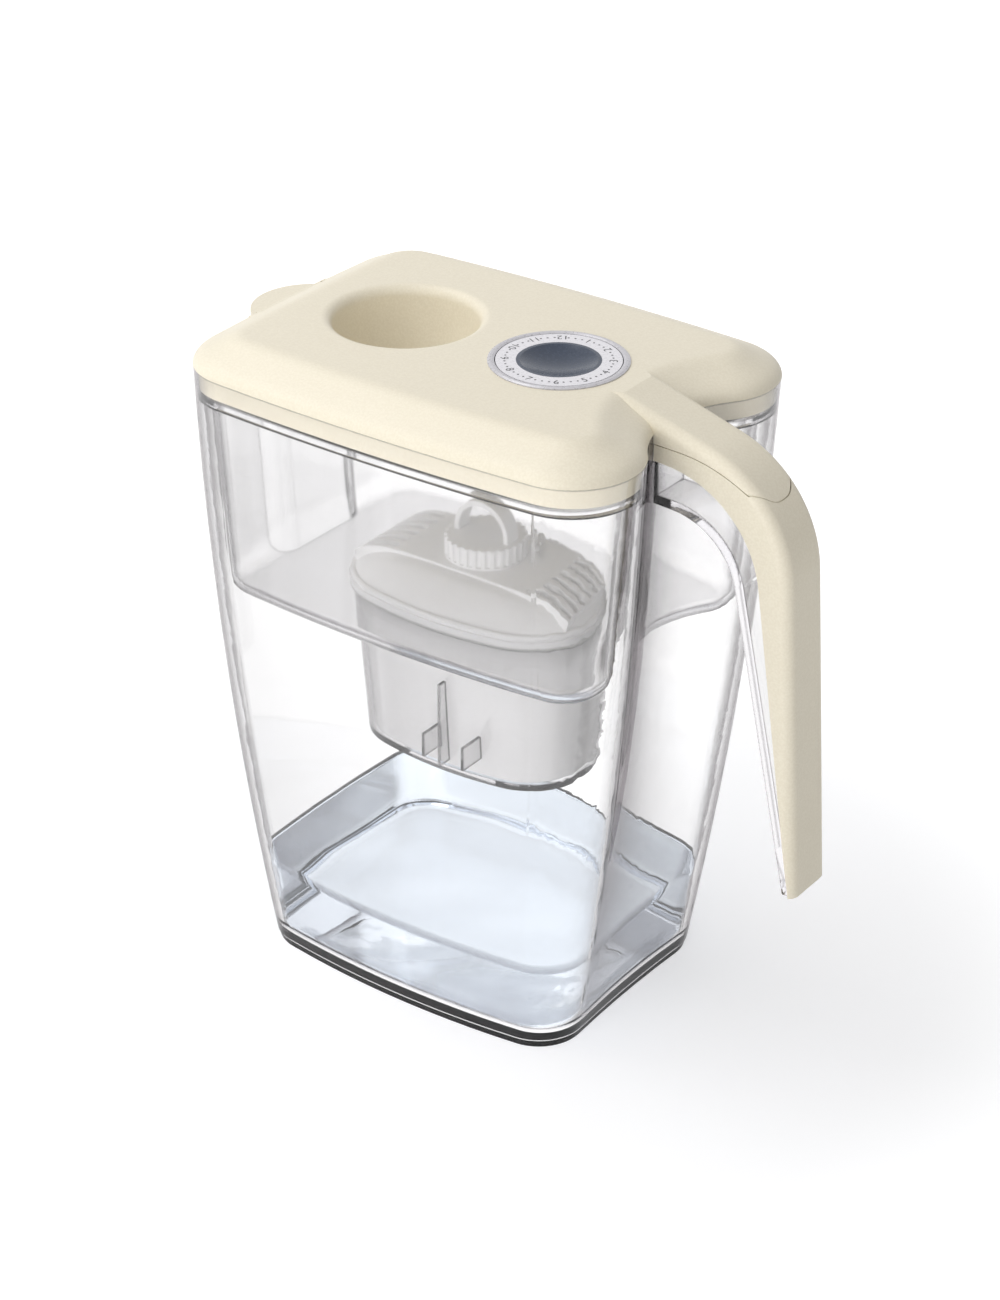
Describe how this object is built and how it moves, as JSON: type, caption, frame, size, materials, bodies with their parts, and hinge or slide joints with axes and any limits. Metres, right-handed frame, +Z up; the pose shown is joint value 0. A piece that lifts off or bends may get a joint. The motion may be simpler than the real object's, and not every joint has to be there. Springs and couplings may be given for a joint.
{
  "type": "water filter pitcher",
  "caption": "Clear water filter pitcher with a lift-out hopper and filter cartridge, a cream lid with fill funnel, spout flap and filter-change dial, and a hook handle.",
  "frame": {"origin": "on the table under the middle of the jug", "axes": "+Z up, -X towards the spout, +X towards the handle"},
  "size_m": [0.258, 0.1478, 0.2668],
  "materials": {
    "clear_plastic": "clear, polished",
    "cream_plastic": "satin cream with a fine grain",
    "cartridge_plastic": "milky, slightly see-through",
    "dial_grey": "grey, satin",
    "dial_pale": "pale, smooth",
    "dial_dark": "dark slate, polished",
    "pin_steel": "plain",
    "seal_rubber": "matt",
    "screen_mesh": "fine mesh",
    "filter_grains": "loose grains"
  },
  "bodies": {
    "jug": {"jug_body": "clear_plastic", "handle_grip": "cream_plastic"},
    "hopper": {"hopper": "clear_plastic"},
    "cartridge": {"cartridge_seal": "seal_rubber", "cartridge_cup": "cartridge_plastic", "bottom_screen": "screen_mesh", "filter_media": "filter_grains", "top_screen": "screen_mesh", "cartridge_cap": "cartridge_plastic", "cartridge_knob": "cartridge_plastic", "pull_hoop": "cartridge_plastic"},
    "lid": {"lid_shell": "cream_plastic", "spout_flap_pin": "pin_steel", "fill_flap_pin": "pin_steel", "dial_bezel": "dial_grey"},
    "spout_flap": {"spout_flap": "cream_plastic"},
    "fill_flap": {"fill_flap": "cream_plastic"},
    "dial": {"dial_ring": "dial_pale", "dial_hub": "dial_dark", "dial_clip": "dial_grey"}
  },
  "joints": [
    {"name": "hopper_lift", "type": "slide", "parent": "jug", "child": "hopper", "axis": [0, 0, 1], "range_m": [0, 0.175]},
    {"name": "cartridge_lift", "type": "slide", "parent": "hopper", "child": "cartridge", "axis": [0, 0, 1], "range_m": [0, 0.16]},
    {"name": "lid_lift", "type": "slide", "parent": "cartridge", "child": "lid", "axis": [0, 0, 1], "range_m": [0, 0.08]},
    {"name": "spout_flap_swing", "type": "hinge", "parent": "lid", "child": "spout_flap", "pos_m": [-0.0942, 0, 0.2572], "axis": [0, 1, 0], "range_deg": [0, 75]},
    {"name": "fill_flap_swing", "type": "hinge", "parent": "lid", "child": "fill_flap", "pos_m": [-0.055, 0, 0.2218], "axis": [0, 1, 0], "range_deg": [0, 60]},
    {"name": "dial_turn", "type": "hinge", "parent": "lid", "child": "dial", "pos_m": [0.0335, 0, 0.264], "axis": [0, 0, 1], "continuous": true}
  ]
}
